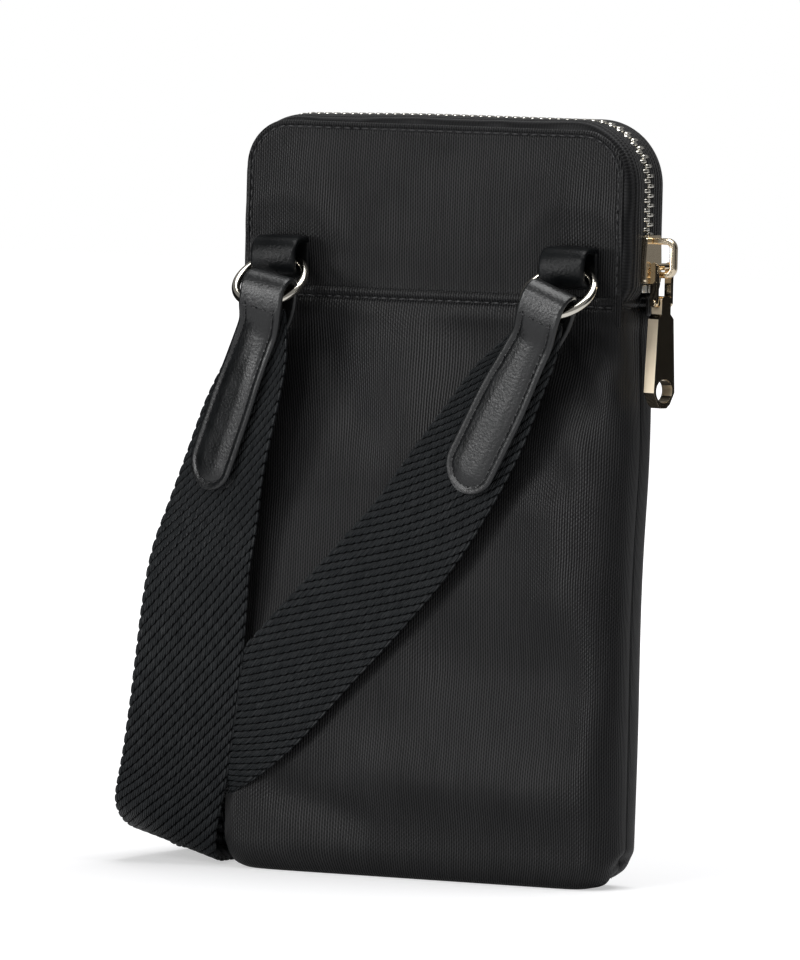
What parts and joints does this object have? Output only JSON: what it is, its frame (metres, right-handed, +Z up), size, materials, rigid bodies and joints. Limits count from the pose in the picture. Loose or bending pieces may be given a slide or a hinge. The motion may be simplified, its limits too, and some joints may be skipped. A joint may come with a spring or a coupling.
{
  "type": "phone pouch",
  "caption": "Flat padded cloth phone pouch with a metal zip over its top and sides, leather ring tabs, and a webbing strap on swinging rings.",
  "frame": {"origin": "centre of the base, on the floor", "axes": "+Z up, -Y out of the face with the rings, +X towards the zip slider's side"},
  "size_m": [0.1504, 0.1027, 0.1925],
  "materials": {
    "cloth": "ribbed satin",
    "foam": "matt foam",
    "lining": "plain weave",
    "zip_tape": "herringbone weave",
    "zip_metal": "polished",
    "pale_gold": "polished plating",
    "leather": "fine grain",
    "webbing": "twill weave"
  },
  "bodies": {
    "pouch": {"back_lower_panel": "cloth", "back_upper_panel": "cloth", "front_lower_panel": "cloth", "front_upper_panel": "cloth", "back_padding": "foam", "front_padding": "foam", "back_lining": "lining", "front_lining": "lining", "back_zip_tape": "zip_tape", "front_zip_tape": "zip_tape", "back_zip_teeth": "zip_metal", "front_zip_teeth": "zip_metal", "zip_start_stop": "zip_metal", "zip_end_stops": "zip_metal", "left_ring_tab": "leather", "right_ring_tab": "leather", "strap_left_run": "webbing", "strap_hank": "webbing", "strap_diagonal_run": "webbing"},
    "slider": {"slider_body": "pale_gold", "slider_crown": "pale_gold"},
    "link": {"pull_link": "pale_gold", "pull_pin": "pale_gold"},
    "tab": {"pull_tab": "pale_gold"},
    "left_hoop": {"left_ring": "pale_gold", "left_strap_end": "leather"},
    "right_hoop": {"right_ring": "pale_gold", "right_strap_end": "leather"}
  },
  "joints": [
    {"name": "zip_slider_travel", "type": "slide", "parent": "pouch", "child": "slider", "axis": [0, 0, 1], "range_m": [0, 0.007]},
    {"name": "pull_link_swing", "type": "hinge", "parent": "slider", "child": "link", "pos_m": [0.05915, 0, 0.15625], "axis": [-0.2756, -0.9613, 0], "range_deg": [0, 120]},
    {"name": "pull_tab_swing", "type": "hinge", "parent": "link", "child": "tab", "pos_m": [0.05915, 0, 0.14725], "axis": [-0.2756, -0.9613, 0], "range_deg": [0, 60]},
    {"name": "left_ring_swing", "type": "hinge", "parent": "pouch", "child": "left_hoop", "pos_m": [-0.0403, -0.0131, 0.1554], "axis": [-1, 0, 0], "range_deg": [0, 95], "deforming": ["strap_left_run"]},
    {"name": "right_ring_swing", "type": "hinge", "parent": "pouch", "child": "right_hoop", "pos_m": [0.0403, -0.0131, 0.1554], "axis": [-1, 0, 0], "range_deg": [0, 95], "deforming": ["strap_diagonal_run"]}
  ]
}
